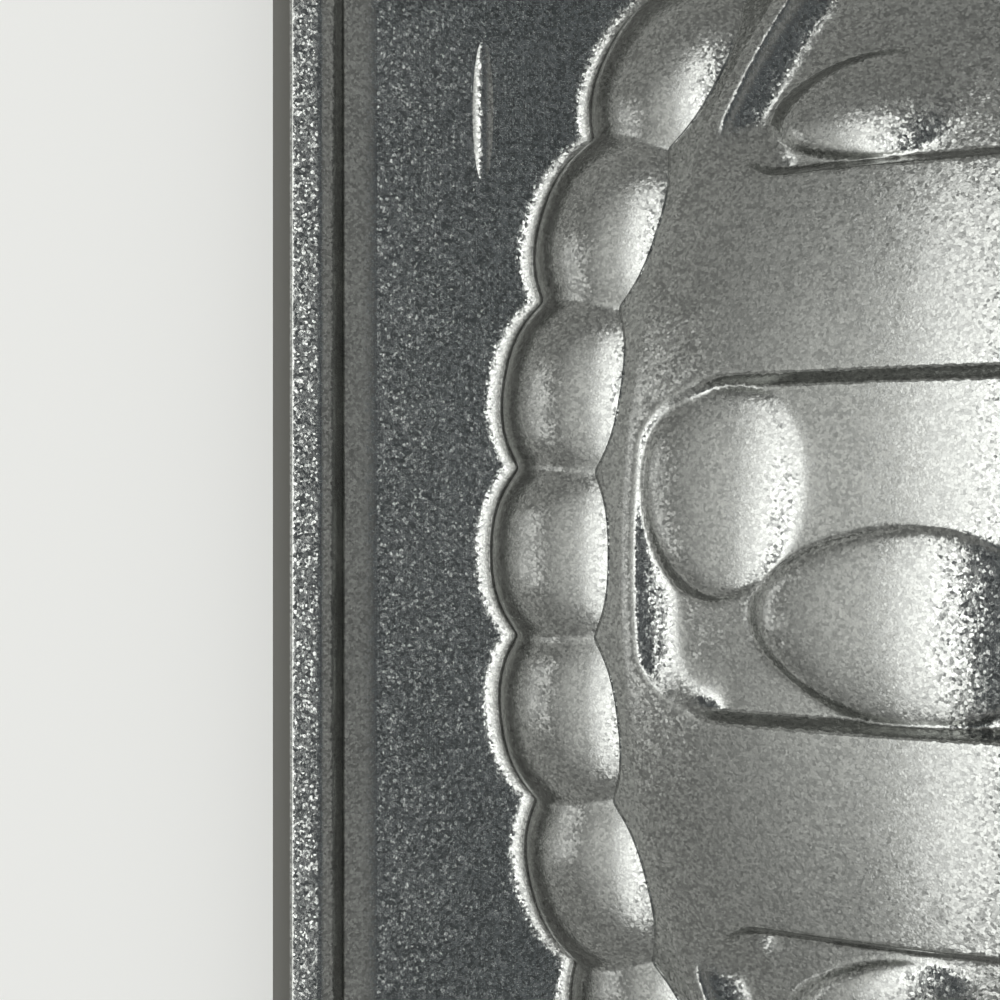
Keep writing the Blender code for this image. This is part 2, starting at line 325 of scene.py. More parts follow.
def grow(bm, ring, points):
    """Extrudes a closed ring of vertices and moves the new ring to the points."""
    made = bmesh.ops.extrude_edge_only(bm, edges=ring_edges(bm, ring))["geom"]
    fresh = {item for item in made if isinstance(item, bmesh.types.BMVert)}
    grown = []
    for vertex, point in zip(ring, points):
        partner = next(e.other_vert(vertex) for e in vertex.link_edges if e.other_vert(vertex) in fresh)
        partner.co = point
        grown.append(partner)
    return grown


def bent(start, corner, end, share):
    """A point of the curve that leaves start towards the corner and turns to reach the end."""
    return start * (1 - share) ** 2 + corner * 2 * share * (1 - share) + end * share**2


def closed_mesh(bm, name):
    """Merges doubled vertices, turns the faces outward and makes a smooth mesh with its corners kept."""
    bmesh.ops.remove_doubles(bm, verts=bm.verts, dist=DOUBLED)
    bmesh.ops.recalc_face_normals(bm, faces=bm.faces)
    open_edges = sum(1 for edge in bm.edges if len(edge.link_faces) != 2)
    triangles = sum(len(face.verts) - 2 for face in bm.faces)
    mesh = bpy.data.meshes.new(name)
    bm.to_mesh(mesh)
    bm.free()
    mesh.shade_smooth()
    mesh.set_sharp_from_angle(angle=SMOOTH_BELOW)
    print(name, "has", triangles, "triangles and", open_edges, "open edges")
    return mesh


# %% [markdown]
# Stations round the egg
#
# There are twenty-nine beads, evenly spaced along the egg line, with one at the blunt end. A station is a
# point of that line with its outward direction and its distance to the nearest bead. Stations crowd together
# near the creases between beads, where the surface turns quickly, and the crease itself is rounded a little,
# as any casting is.

# %% Stations
BEAD_STEPS = (
    0, 0.10, 0.20, 0.29, 0.36, 0.415, 0.455, 0.482, 0.5, 0.518, 0.545, 0.585, 0.64, 0.71, 0.80, 0.90,
)
FINE_STEPS = 60
CREASE_ROUNDING = 0.00022


def egg_line(angle):
    """A point of the egg line and the outward direction there."""
    length = EGG_BLUNT if math.sin(angle) > 0 else EGG_POINTED
    point = Vector((EGG_HALF_WIDTH * math.cos(angle), length * math.sin(angle), 0))
    outward = Vector((length * math.cos(angle), EGG_HALF_WIDTH * math.sin(angle), 0)).normalized()
    return point, outward


def egg_stations(steps):
    """The stations, found by walking along the egg line in small steps, and the pitch of the beads."""
    fine = FINE_STEPS * BEAD_COUNT * len(steps)
    angles = [math.pi / 2 + 2 * math.pi * i / fine for i in range(fine + 1)]
    points = [egg_line(angle)[0] for angle in angles]
    travelled = [0.0]
    for last, point in zip(points, points[1:]):
        travelled.append(travelled[-1] + (point - last).length)
    pitch = travelled[-1] / BEAD_COUNT
    found = []
    place = 0
    for bead in range(BEAD_COUNT):
        for step in steps:
            goal = (bead + step) * pitch
            while travelled[place + 1] < goal:
                place += 1
            from_crease = abs(step - 0.5) * pitch
            off_bead = pitch / 2 - math.hypot(from_crease, CREASE_ROUNDING)
            found.append((*egg_line(angles[place]), max(off_bead, 0)))
    return found, pitch


stations, bead_pitch = egg_stations(BEAD_STEPS)
print(len(stations), "stations, a bead every", round(bead_pitch * 1000, 2), "mm")


def held(items, hold):
    """The list with each group of this many standing at the first of its group."""
    return [items[i - i % hold] for i in range(len(items))]


def level_ring(spread, z, hold=1):
    """A ring that follows the egg line at a distance outside it."""
    return [point + outward * spread + Vector((0, 0, z)) for point, outward, _ in held(stations, hold)]


# %% [markdown]
# The beads
#
# Across its row each bead is a quarter of a rounded block that leans in towards the dome: a steep wall at its
# foot that bends over into a round brow, and a back that is still tilted a little outward where the dome cuts
# it off. Going up, the creases between neighbours get shallower. A formula for the rounded block gives every
# point of it, at any distance from the crease, so that no bead has to be drawn by hand.

# %% The beads' rounded block
BEAD_LEAN = 0.0015
BEAD_FOOT = 0.0069
BEAD_ROUND = 0.0067
BEAD_FULLNESS = 2.5
WALL_TOP = 0.0024
WALL_RUN = 0.00045
VALLEY_FADE = 0.85
JOIN_SPREAD = 0.0006
JOIN_HEIGHT = 0.0058
HALVINGS = 30

# The block's half width and height, from two points that it has to pass through.
reach_low, reach_high = (BEAD_FOOT - WALL_RUN + BEAD_LEAN) ** 2, (JOIN_SPREAD + BEAD_LEAN) ** 2
rise_low, rise_high = (WALL_TOP + BEAD_SINK) ** 2, (JOIN_HEIGHT + BEAD_SINK) ** 2
scale = reach_low * rise_high - reach_high * rise_low
bead_width = math.sqrt(scale / (rise_high - rise_low))
bead_height = math.sqrt(scale / (reach_low - reach_high))
print("half width and height of a bead's block, mm:",
      round(bead_width * 1000, 2), round(bead_height * 1000, 2))


def bead_point(off_bead, slope):
    """Distance out from the egg line, and height, of a point on the bead row."""
    fade = 1 - (1 - VALLEY_FADE) * math.sin(slope) ** 2
    share = (1 - (off_bead * fade / BEAD_ROUND) ** BEAD_FULLNESS) ** (1 / BEAD_FULLNESS)
    out = bead_width * share * math.cos(slope) - BEAD_LEAN
    return Vector((out, PLATE_THICKNESS - BEAD_SINK + bead_height * share * math.sin(slope)))


def slope_where(off_bead, wanted, axis, low, high):
    """The angle on the bead at which its distance out (axis 0) or height (axis 1) has the wanted value."""
    for _ in range(HALVINGS):
        middle = (low + high) / 2
        value = bead_point(off_bead, middle)[axis]
        if (value > wanted) == (axis == 0):
            low = middle
        else:
            high = middle
    return (low + high) / 2


# %% [markdown]
# Foot and back of the beads
#
# The foot isn't a plain fillet: the plate first ramps up very gently for about a millimetre, then turns
# sharply into the wall of the bead. That ramp is what carries the white outline in the photograph. The wall
# bends over into the brow, and the back runs up to a narrow groove where the dome cuts it off. A section
# through one station is a list of points, and the same point of every station makes one ring.

# %% Bead section
RAMP_WIDTH = 0.00095
RAMP_RISE = 0.00015
RAMP_STEPS = 6
FOOT_TURN = 0.00028
FOOT_TOP = 0.00055
TURN_OUT = 0.00003
TURN_RISE = 0.00008
TURN_SHARES = (0.2, 0.4, 0.6, 0.8)
WALL_LOW, WALL_HIGH = 0.0, 1.2
WALL_SHARES = (0, 0.3, 0.55, 0.75, 0.92)
SLOPE_STEP = 0.01
BACK_RINGS = 17
BACK_START = 0.15
BACK_LOW, BACK_HIGH = 0.5, 1.57
JOIN_SLANT = 1.2
JOIN_EDGE = 0.00012
GROOVE = 0.00005
GROOVE_OUTER_DROP = 0.7
GROOVE_INNER_DROP = 0.6


def bead_section(off_bead):
    """Points from the plate in to where the bead meets the dome, as distance out and height."""
    start = slope_where(off_bead, PLATE_THICKNESS + WALL_TOP, 1, WALL_LOW, WALL_HIGH)
    brow = bead_point(off_bead, start)
    foot = brow.x + WALL_RUN
    base = Vector((foot + FOOT_TURN, PLATE_THICKNESS + RAMP_RISE))
    section = []
    for step in range(RAMP_STEPS + 1):
        share = step / RAMP_STEPS
        section.append(Vector((base.x + RAMP_WIDTH * (1 - share), PLATE_THICKNESS + RAMP_RISE * share**2)))
    turn = Vector((foot + TURN_OUT, PLATE_THICKNESS + RAMP_RISE + TURN_RISE))
    top = Vector((foot, PLATE_THICKNESS + FOOT_TOP))
    section += [bent(base, turn, top, share) for share in TURN_SHARES]
    # The wall rises straight from the foot and has turned into the brow's own slope where it meets it.
    onward = bead_point(off_bead, start + SLOPE_STEP) - brow
    knee = Vector((foot, max(brow.y + (foot - brow.x) * onward.y / onward.x, top.y)))
    section += [bent(top, knee, brow, share) for share in WALL_SHARES]
    # Where a bead is low, near its creases, the dome cuts it off further out.
    crest = bead_point(0, slope_where(0, JOIN_SPREAD, 0, BACK_LOW, BACK_HIGH)).y
    drop = crest - bead_point(off_bead, slope_where(off_bead, JOIN_SPREAD, 0, BACK_LOW, BACK_HIGH)).y
    join = JOIN_SPREAD + JOIN_SLANT * drop
    end = slope_where(off_bead, join + GROOVE, 0, BACK_LOW, BACK_HIGH)
    for step in range(BACK_RINGS):
        share = (step + BACK_START) / (BACK_RINGS - 1 + BACK_START)
        section.append(bead_point(off_bead, start + (end - start) * share))
    last = section[-1]
    section.append(Vector((join, last.y - GROOVE * GROOVE_OUTER_DROP)))
    section.append(Vector((join - GROOVE, last.y - GROOVE * GROOVE_INNER_DROP)))
    section.append(Vector((JOIN_EDGE, PLATE_THICKNESS + DOME_EDGE_RISE - JOIN_SLANT * JOIN_EDGE)))
    return section


sections = [bead_section(off_bead) for _, _, off_bead in stations]
bead_rings = [
    [point + outward * part.x + Vector((0, 0, part.y))
     for (point, outward, _), part in zip(stations, layer)]
    for layer in zip(*sections)
]
print(len(bead_rings), "rings make the beads")

# %% [markdown]
# The dome
#
# Inside the beads the egg swells as one smooth dome, so its surface can be a formula: a height over the plate
# at every place. The bands and the small eggs only raise or lower it, and this difference is called the
# relief here. The hollow under the dome repeats its form at the thickness of the wall.

# %% Dome and hollow
def egg_share(x, y):
    """Square of how far out towards the egg line a point lies, from 0 on the axis to 1 on the line."""
    length = np.where(y > 0, EGG_BLUNT, EGG_POINTED)
    return (x / EGG_HALF_WIDTH) ** 2 + (y / length) ** 2


def dome_height(x, y):
    return PLATE_THICKNESS + DOME_EDGE_RISE + DOME_RISE * (1 - egg_share(x, y))


def hollow_drop(x, y, inset):
    """How far below the dome the hollow lies, for a wall of the same thickness all over."""
    slope = 2 * DOME_RISE * np.sqrt(egg_share(x, y)) / EGG_HALF_WIDTH
    return inset * np.sqrt(1 + slope**2)


dome_top = float(dome_height(0, np.float64(0)))
print("top of the dome and of the hollow, mm:", round(1000 * dome_top, 2), round(1000 * (dome_top - WALL), 2))

# %% [markdown]
# The bands
#
# Three bands are sunk into the dome. A band's long edges are steep little walls. At its two ends it comes up
# gently instead: a level step, then a run that curves into the floor. Each band is given by its middle along
# the egg, its height, the width of its step, and how steep its run is beside the step. Its depth at a place
# follows from the distance to its outline.

# %% Bands
BAND_DEPTH = 0.0014
BAND_END_INSET = 0.0006
BAND_CORNER = 0.0034
SIDE_WIDTH = 0.00080
END_REACH = 0.0020
END_FADE = 0.0026
END_RUN = 0.0020
END_CURVE = 4.0
END_SOFTNESS = 0.0003
EDGE_ROUNDING = 0.00018
TINY = 0.000001
NARROWEST = 0.0001
MIDDLE_BAND = (0.0006, 0.0174, 0.00072, 0.74)
BLUNT_BAND = (0.0268, 0.0132, 0.00060, 0.58)
POINTED_BAND = (-0.0258, 0.0132, 0.00060, 0.58)


def band_place(x, y, band):
    """Distance in from a band's outline, and the share of it that counts as the band's end."""
    middle, height = band[:2]
    length = np.where(y > 0, EGG_BLUNT, EGG_POINTED)
    half = EGG_HALF_WIDTH * np.sqrt(np.clip(1 - (y / length) ** 2, NARROWEST, 1))
    lean = np.hypot(half / EGG_HALF_WIDTH**2, y / length**2)
    in_from_end = (half - np.abs(x)) * half / EGG_HALF_WIDTH**2 / lean - BAND_END_INSET
    in_from_side = height / 2 - np.abs(y - middle)
    corner_end = np.clip(BAND_CORNER - in_from_end, TINY, None)
    corner_side = np.clip(BAND_CORNER - in_from_side, TINY, None)
    in_corner = (in_from_end < BAND_CORNER) & (in_from_side < BAND_CORNER)
    round_in = BAND_CORNER - np.hypot(corner_end, corner_side)
    distance = np.where(in_corner, round_in, np.minimum(in_from_end, in_from_side))
    return distance, eased_share((END_REACH + END_FADE - in_from_end) / END_FADE)


def eased_share(share):
    """The share held between 0 and 1, with a gentle start and a gentle end."""
    share = np.clip(share, 0, 1)
    return share**2 * (3 - 2 * share)


def side_wall(distance):
    """Depth of the steep wall along a band's side."""
    return BAND_DEPTH * eased_share(distance / SIDE_WIDTH + 0.5)


def end_ramp(distance, step_width, ease):
    """Depth of the step and the run at a band's end."""
    eased = (distance + np.hypot(distance, EDGE_ROUNDING)) / 2
    past_step = (eased - step_width + np.hypot(eased - step_width, END_SOFTNESS)) / 2
    share = np.clip(past_step / END_RUN, 0, 1)
    run = END_RUN * ease * (share - share ** (END_CURVE + 1) / (END_CURVE + 1))
    whole = step_width + END_RUN * ease * END_CURVE / (END_CURVE + 1)
    return BAND_DEPTH * (eased - past_step + run) / whole


def band_depth(x, y, band):
    distance, end_share = band_place(x, y, band)
    return end_share * end_ramp(distance, *band[2:]) + (1 - end_share) * side_wall(distance)


middle_floor = float(band_depth(np.float64(0), np.float64(MIDDLE_BAND[0]), MIDDLE_BAND))
print("depth of the middle band, mm:", round(1000 * middle_floor, 2))

# %% [markdown]
# The small eggs
#
# Large and small eggs take turns along the middle band, upright and lying down, and the two side bands carry
# a double row of smaller ones. A small egg is a low cap of an egg-shaped plan that rests on the band's floor.
# Each is given by its place across, its place up from the band's middle, its half length and half width as
# seen from above, its height over the band's floor, the turn of its pointed end, and its lean: the eggs
# nearest the ends stand more upright than the dome under them.

# %% Small eggs
EGG_SWELL = 0.100
EGG_SIDE = 2.20
EGG_SHOULDER = 0.00026
EGG_TAPER = 0.16
CAP_ROUNDING = 0.00020
MIDDLE_EGGS = (
    (-0.838, 0.0030, 0.00550, 0.00425, 0.00060, 172, 0.21),
    (-0.606, -0.0037, 0.00645, 0.00490, 0.00042, 84, 0.05),
    (-0.325, 0.0026, 0.00525, 0.00410, 0.00045, 160, 0.06),
    (-0.030, -0.0034, 0.00680, 0.00480, 0.00045, -96, 0.0),
    (0.245, 0.0028, 0.00525, 0.00410, 0.00045, 200, -0.05),
    (0.525, -0.0035, 0.00645, 0.00490, 0.00042, 82, -0.05),
    (0.834, 0.0028, 0.00550, 0.00425, 0.00060, 172, -0.21),
)
BLUNT_EGGS = (
    (-0.613, -0.0034, 0.0044, 0.0028, 0.00046, 98, 0.15),
    (-0.310, 0.0032, 0.0047, 0.0028, 0.00048, 84, 0.05),
    (0.000, -0.0033, 0.0050, 0.0028, 0.00048, -92, 0.0),
    (0.310, 0.0032, 0.0047, 0.0028, 0.00048, -84, -0.05),
    (0.613, -0.0034, 0.0044, 0.0028, 0.00046, -98, -0.15),
)
POINTED_EGGS = (
    (-0.590, 0.0029, 0.0044, 0.0028, 0.00046, 98, 0.15),
    (-0.300, -0.0033, 0.0047, 0.0028, 0.00048, 84, 0.05),
    (0.000, 0.0033, 0.0050, 0.0028, 0.00048, 92, 0.0),
    (0.300, -0.0033, 0.0047, 0.0028, 0.00048, -84, -0.05),
    (0.590, 0.0029, 0.0044, 0.0028, 0.00046, -98, -0.15),
)
BANDS = ((MIDDLE_BAND, MIDDLE_EGGS), (BLUNT_BAND, BLUNT_EGGS), (POINTED_BAND, POINTED_EGGS))


def small_egg(x, y, middle, egg):
    """How far out in a small egg's plan a point lies, 1 at its shoulder, and its height over the floor."""
    across, up, half_length, half_width, rise, turn, lean = egg
    turn = math.radians(turn)
    dx = x - across * EGG_HALF_WIDTH
    dy = y - middle - up
    along = (dy * math.cos(turn) - dx * math.sin(turn)) / half_length
    narrowing = 1 - EGG_TAPER * np.clip(along, -1, 1)
    beside = (dx * math.cos(turn) + dy * math.sin(turn)) / (half_width * narrowing)
    out = np.hypot(along, beside)
    past = (out - 1) * half_width
    side = (past + np.hypot(past, EGG_SHOULDER)) / 2
    swell = EGG_SWELL * half_width * (1 - out**2)
    return out, rise + swell - lean * dx - EGG_SIDE * side


def relief(x, y):
    """How far the bands and the small eggs lower or raise the dome."""
    level = np.zeros_like(x)
    for band, _ in BANDS:
        level = level - band_depth(x, y, band)
    for (middle, *_), eggs in BANDS:
        for egg in eggs:
            _, cap = small_egg(x, y, middle, egg)
            cap = cap - BAND_DEPTH
            level = (level + cap + np.hypot(level - cap, CAP_ROUNDING)) / 2
    return level


sample = relief(np.array([0.0, -0.0281]), np.array([0.0161, 0.0036]))
print("relief on a plain stripe and on a small egg, mm:", [round(1000 * value, 2) for value in sample])

# %% [markdown]
# One well as a closed shell
#
# A casting has a thickness, so a well is a closed shell with an outside and a lining. The collar's lower edge
# is the first ring. From there one stack of rings climbs over the beads to the top of the dome, and a second
# one goes in under the plate, rounds the mouth and lines the hollow. Fewer stations are kept towards the top,
# where the rings are short.

# %% Rings of a well
DOME_SHARES = (
    (1.0, 1), (0.99, 1), (0.972, 1), (0.95, 1), (0.925, 1), (0.895, 2), (0.86, 2), (0.82, 2), (0.775, 2),
    (0.725, 2), (0.67, 4), (0.61, 4), (0.545, 4), (0.475, 4), (0.40, 4), (0.32, 8), (0.235, 8), (0.145, 8),
)
HOLLOW_SHARES = (
    (0.965, 2), (0.93, 2), (0.88, 4), (0.82, 4), (0.74, 4), (0.64, 4), (0.52, 8), (0.38, 8), (0.2, 8),
)
HOLLOW_SLOPES = (0, 10, 20, 30, 40, 50, 60, 70, 80, 90)
MOUTH_ROUNDING = 0.0009
MOUTH_STEPS = 5
seam_spread = well_foot + PART_GAP / 2


def dome_ring(share, hold, inset):
    """A ring on the dome, or on the hollow under it, at a share of the way out to the egg line."""
    ring = []
    for point, _, _ in held(stations, hold):
        x, y = point.x * share, point.y * share
        z = dome_height(x, np.float64(y)) - (hollow_drop(x, np.float64(y), inset) if inset else 0)
        ring.append(Vector((x, y, float(z))))
    return ring


def hollow_point(off_bead, slope):
    """A point of the lining under the beads, as distance out from the egg line and height."""
    fade = 1 - (1 - VALLEY_FADE) * math.sin(slope) ** 2
    radius = math.sqrt(BEAD_RADIUS**2 - (off_bead * fade) ** 2) - WALL
    return radius * math.cos(slope), PLATE_THICKNESS - BEAD_SINK + radius * math.sin(slope)


def hollow_ring(slope):
    ring = []
    for point, outward, off_bead in held(stations, 2):
        spread, z = hollow_point(off_bead, slope)
        ring.append(point + outward * spread + Vector((0, 0, z)))
    return ring


def mouth_rings():
    """The flat underside and the rounded edge where the hollow begins."""
    rings = []
    for step in range(MOUTH_STEPS + 1):
        turn = math.pi / 2 * step / MOUTH_STEPS
        ring = []
        for point, outward, off_bead in held(stations, 2):
            spread, _ = hollow_point(off_bead, 0)
            out = spread + MOUTH_ROUNDING * (1 - math.sin(turn))
            ring.append(point + outward * out + Vector((0, 0, MOUTH_ROUNDING * (1 - math.cos(turn)))))
        rings.append(ring)
    return rings


def rough_well():
    """The closed shell of one well, before the relief is in it."""
    bm = bmesh.new()
    start = first_ring(bm, level_ring(seam_spread, 0, 2))
    outside = [level_ring(seam_spread, PLATE_THICKNESS, 2)] + bead_rings
    outside += [dome_ring(share, hold, 0) for share, hold in DOME_SHARES]
    ring = start
    for points in outside:
        ring = grow(bm, ring, points)
    grow(bm, ring, [Vector((0, 0, dome_top))] * len(ring))
    inside = mouth_rings() + [hollow_ring(math.radians(slope)) for slope in HOLLOW_SLOPES]
    inside += [dome_ring(share, hold, WALL) for share, hold in HOLLOW_SHARES]
    ring = start
    for points in inside:
        ring = grow(bm, ring, points)
    grow(bm, ring, [Vector((0, 0, dome_top - WALL))] * len(ring))
    bmesh.ops.remove_doubles(bm, verts=bm.verts, dist=DOUBLED)
    return bm


bm = rough_well()
print("the plain well has", len(bm.verts), "vertices")

# %% [markdown]
# Splitting where the relief has creases
#
# The edges of the bands and of the small eggs need a far finer mesh than the plain dome between them. A
# Subdivision modifier would refine everything alike. So only the edges that are too long for the relief at
# their own place are split, again and again, until they are short enough to follow it.

# %% Split the dome
FINE_INSIDE_END = 0.0002
FINE_BESIDE_WALL = 0.0004
FINE_OUTSIDE_EGG = 0.0011
FINE_INSIDE_EGG = 0.0002
RUN_EDGE = 0.0005
RUN_SHARE = 0.1
PLAIN_EDGE = 0.01
EDGE_GROWTH = 0.7
FINEST_OUTSIDE = 0.00023
FINEST_INSIDE = 0.00055
SPLIT_ROUNDS = 5
SPLIT_SLACK = 1.3
SKIN_MIDDLE = 0.0021
DOME_REACH = 0.992
LINING_REACH = 0.955
LOWEST_DOME = 0.0055
LOWEST_TRIANGLE = 0.006


def wanted_edge(x, y, finest):
    """How long a mesh edge may be at a place, so that the creases of the relief stay crisp."""
    away = np.full_like(x, PLAIN_EDGE)
    limit = np.full_like(x, PLAIN_EDGE)
    for band, _ in BANDS:
        distance, end_share = band_place(x, y, band)
        fine_width = np.where(end_share > 0.5, FINE_INSIDE_END, FINE_BESIDE_WALL)
        away = np.minimum(away, np.clip(np.abs(distance) - fine_width, 0, None))
        in_run = (distance > 0) & (distance < BAND_CORNER) & (end_share > RUN_SHARE)
        limit = np.where(in_run, RUN_EDGE, limit)
    for (middle, *_), eggs in BANDS:
        for egg in eggs:
            out, _ = small_egg(x, y, middle, egg)
            past = (out - 1) * egg[3]
            from_crease = np.maximum(past - FINE_OUTSIDE_EGG, -past - FINE_INSIDE_EGG)
            away = np.minimum(away, np.clip(from_crease, 0, None))
    return np.minimum(finest + EDGE_GROWTH * away, np.maximum(limit, finest))


def on_dome(coordinates):
    """Which points lie on the dome or on the hollow under it, and which of them are on the outside."""
    x, y, z = coordinates.T
    outer = z > dome_height(x, y) - SKIN_MIDDLE
    inner = egg_share(x, y) < np.where(outer, DOME_REACH, LINING_REACH) ** 2
    return inner & (z > LOWEST_DOME), outer


def split_where_needed(bm):
    """Splits every edge of the dome that is too long for the relief there, again and again."""
    for turn in range(SPLIT_ROUNDS):
        bm.verts.index_update()
        edges = bm.edges[:]
        ends = np.array([(*e.verts[0].co, *e.verts[1].co) for e in edges])
        first, second = ends[:, :3], ends[:, 3:]
        middle = (first + second) / 2
        inner, outer = on_dome(middle)
        finest = np.where(outer, FINEST_OUTSIDE, FINEST_INSIDE)
        wanted = wanted_edge(middle[:, 0], middle[:, 1], finest)
        length = np.hypot(first[:, 0] - second[:, 0], first[:, 1] - second[:, 1])
        chosen = [e for e, split in zip(edges, inner & (length > SPLIT_SLACK * wanted)) if split]
        if not chosen:
            break
        bmesh.ops.subdivide_edges(bm, edges=chosen, cuts=1, use_grid_fill=True, use_single_edge=True)
        # The faces over the plate become triangles, so that no face has a corner halfway along an edge.
        crowded = [face for face in bm.faces
                   if len(face.verts) > 3 and face.calc_center_median().z > LOWEST_TRIANGLE]
        bmesh.ops.triangulate(bm, faces=crowded)
        print("  split round", turn + 1, "gives", len(bm.faces), "faces")


split_where_needed(bm)

# %% [markdown]
# True heights and normals
#
# Only now is every vertex of the dome lifted to its true height. Blender would shade the dome with normals
# averaged from its faces, and in a polished surface the unevenness of small faces shows. The height is a
# formula, so its slope is known everywhere, and the vertices get their normals from that slope.

# %% Lift and smooth the dome
SMOOTH_REACH = 0.985
OUTSIDE_WITHIN = 0.0010
ON_FORMULA = 0.00001


def true_height(x, y, outer):
    return dome_height(x, y) + relief(x, y) - np.where(outer, 0, hollow_drop(x, y, WALL))


def lift_to_relief(bm):
    vertices = bm.verts[:]
    coordinates = np.array([vertex.co[:] for vertex in vertices])
    inner, outer = on_dome(coordinates)
    lifted = true_height(coordinates[:, 0], coordinates[:, 1], outer)
    for vertex, moves, z in zip(vertices, inner, lifted):
        if moves:
            vertex.co.z = z


def smooth_by_formula(mesh, step=0.00002):
    """Gives the dome's vertices the exact normals of its formula, so that its small faces don't show."""
    coordinates = np.array([vertex.co[:] for vertex in mesh.vertices])
    x, y, z = coordinates.T
    inner, _ = on_dome(coordinates + np.array([0, 0, BAND_DEPTH]))
    outer = z > dome_height(x, y) + relief(x, y) - OUTSIDE_WITHIN
    lifted = np.abs(z - true_height(x, y, outer)) < ON_FORMULA
    inner = inner & (egg_share(x, y) < SMOOTH_REACH**2) & lifted
    slope_x = (true_height(x + step, y, outer) - true_height(x - step, y, outer)) / (2 * step)
    slope_y = (true_height(x, y + step, outer) - true_height(x, y - step, outer)) / (2 * step)
    normals = np.stack([-slope_x, -slope_y, np.ones_like(x)], axis=1)
    normals = normals / np.linalg.norm(normals, axis=1)[:, None] * np.where(outer, 1, -1)[:, None]
    normals[~inner] = 0
    corners = np.empty(len(mesh.loops), dtype=np.int32)
    mesh.loops.foreach_get("vertex_index", corners)
    mesh.normals_split_custom_set(normals[corners].tolist())
    print("  exact normals on", int(inner.sum()), "of", len(x), "vertices")


lift_to_relief(bm)
well_mesh = closed_mesh(bm, "egg_well_surface")
smooth_by_formula(well_mesh)

# %% [markdown]
# Six wells
#
# All six wells come from one pattern, so one mesh is copied and moved. The move goes into the vertices and
# the objects stay at the origin, so that the grain of the coat runs on from piece to piece without a break.

# %% Place the wells
def add_piece(name, mesh, *nodes):
    """An object at the origin that stands for the named solids and moves with the pan."""
    thing = bpy.data.objects.new(name, mesh)
    bpy.context.scene.collection.objects.link(thing)
    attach(thing, "root")
    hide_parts(*nodes)
    return thing


def well_places():
    """Where the middles of the six egg lines stand, row by row."""
    places = []
    for row in range(ROWS):
        for column in range(COLUMNS):
            x = (column - (COLUMNS - 1) / 2) * pitch_across
            y = ((ROWS - 1) / 2 - row) * pitch_along + (EGG_POINTED - EGG_BLUNT) / 2
            places.append(Vector((x, y, 0)))
    return places


pieces = []
for number, place in enumerate(well_places(), 1):
    mesh = well_mesh.copy()
    mesh.name = f"beaded_well_{number}"
    mesh.transform(Matrix.Translation(place))
    pieces.append(add_piece(f"beaded_well_{number}", mesh, f"egg_well_{number}"))
    print(f"well {number} at", round(place.x * 1000, 2), round(place.y * 1000, 2), "mm")

# %% [markdown]
# The raised lip
#
# The lip runs round the whole edge. Outside it flares down to the table, on top it is flat, and inside it
# rolls over, falls steeply and sweeps out to the plate, which it meets at a slight bend. Its section is drawn
# once as distance in from the edge and height, and each point of it becomes one ring with round corners.

# %% Inner side of the lip
ROLL_POINTS = 10
ROLL_START = 0.00340
ROLL_RADIUS = 0.00115
ROLL_TURN = math.radians(78)
SWEEP_RADIUS = 0.00635
SWEEP_TURN = math.radians(24)
SWEEP_END = math.radians(8)
END_RADIUS = 0.0006
CREASE_RADIUS = 0.00025


def hollow_arc(start, radius, steep, gentle, steps):
    """Points that go down from start on a hollow arc, from a steep slope to a gentler one."""
    points = []
    for step in steps:
        turn = steep + (gentle - steep) * step / steps[-1]
        across = radius * (math.sin(steep) - math.sin(turn))
        points.append(start + Vector((across, radius * (math.cos(steep) - math.cos(turn)))))
    return points


def arc_fall(radius, steep, gentle):
    return radius * (math.cos(gentle) - math.cos(steep))


def inner_side():
    """Section from the top of the lip down to the plate: a roll, a steep face, a tight turn and a sweep."""
    points = []
    place = Vector((0, PLATE_THICKNESS + LIP_HEIGHT))
    for step in range(1, ROLL_POINTS + 1):
        turn = ROLL_TURN * step / ROLL_POINTS
        points.append(place + ROLL_RADIUS * Vector((math.sin(turn), math.cos(turn) - 1)))
    below = arc_fall(CREASE_RADIUS, ROLL_TURN, SWEEP_TURN)
    below += arc_fall(SWEEP_RADIUS, SWEEP_TURN, SWEEP_END) + arc_fall(END_RADIUS, SWEEP_END, 0)
    steep_fall = points[-1].y - PLATE_THICKNESS - below
    start = points[-1] + Vector((steep_fall / math.tan(ROLL_TURN), -steep_fall))
    points += hollow_arc(start, CREASE_RADIUS, ROLL_TURN, SWEEP_TURN, range(5))
    points += hollow_arc(points[-1], SWEEP_RADIUS, SWEEP_TURN, SWEEP_END, range(1, 9))
    points += hollow_arc(points[-1], END_RADIUS, SWEEP_END, 0, range(1, 4))
    return points


inner_points = [point + Vector((ROLL_START, 0)) for point in inner_side()]
roll_end = inner_points[ROLL_POINTS - 1]
seam_height = roll_end.y - (LIP_FOOT - roll_end.x) * math.tan(ROLL_TURN)
print("the lip's inner side ends", round(1000 * inner_points[-1].x, 2), "mm in, at", inner_points[-1].y, "m")

# %% The whole lip
CORNER_STEPS = 28
TOP_CORNER = 0.00020
BRIM_OUT = 0.00030
BRIM = LIP_FLARE - BRIM_OUT
BESIDE_BRIM = 0.0003
BESIDE_ROLL = 0.0001
# These rings, on the flare outside the lip, carry the mask for painted shade and a duller finish.
SHADED_DULL_RINGS = range(3, 6)


def edge_ring(inward, z):
    """A level ring with round corners, this far in from the pan's edge."""
    radius = CORNER_RADIUS - inward
    ring = []
    for turn, sign_x, sign_y in ((0, 1, 1), (1, -1, 1), (2, -1, -1), (3, 1, -1)):
        corner = Vector((sign_x * (half_x - CORNER_RADIUS), sign_y * (half_y - CORNER_RADIUS), z))
        for step in range(CORNER_STEPS + 1):
            angle = math.pi / 2 * (turn + step / CORNER_STEPS)
            ring.append(corner + radius * Vector((math.cos(angle), math.sin(angle), 0)))
    return ring


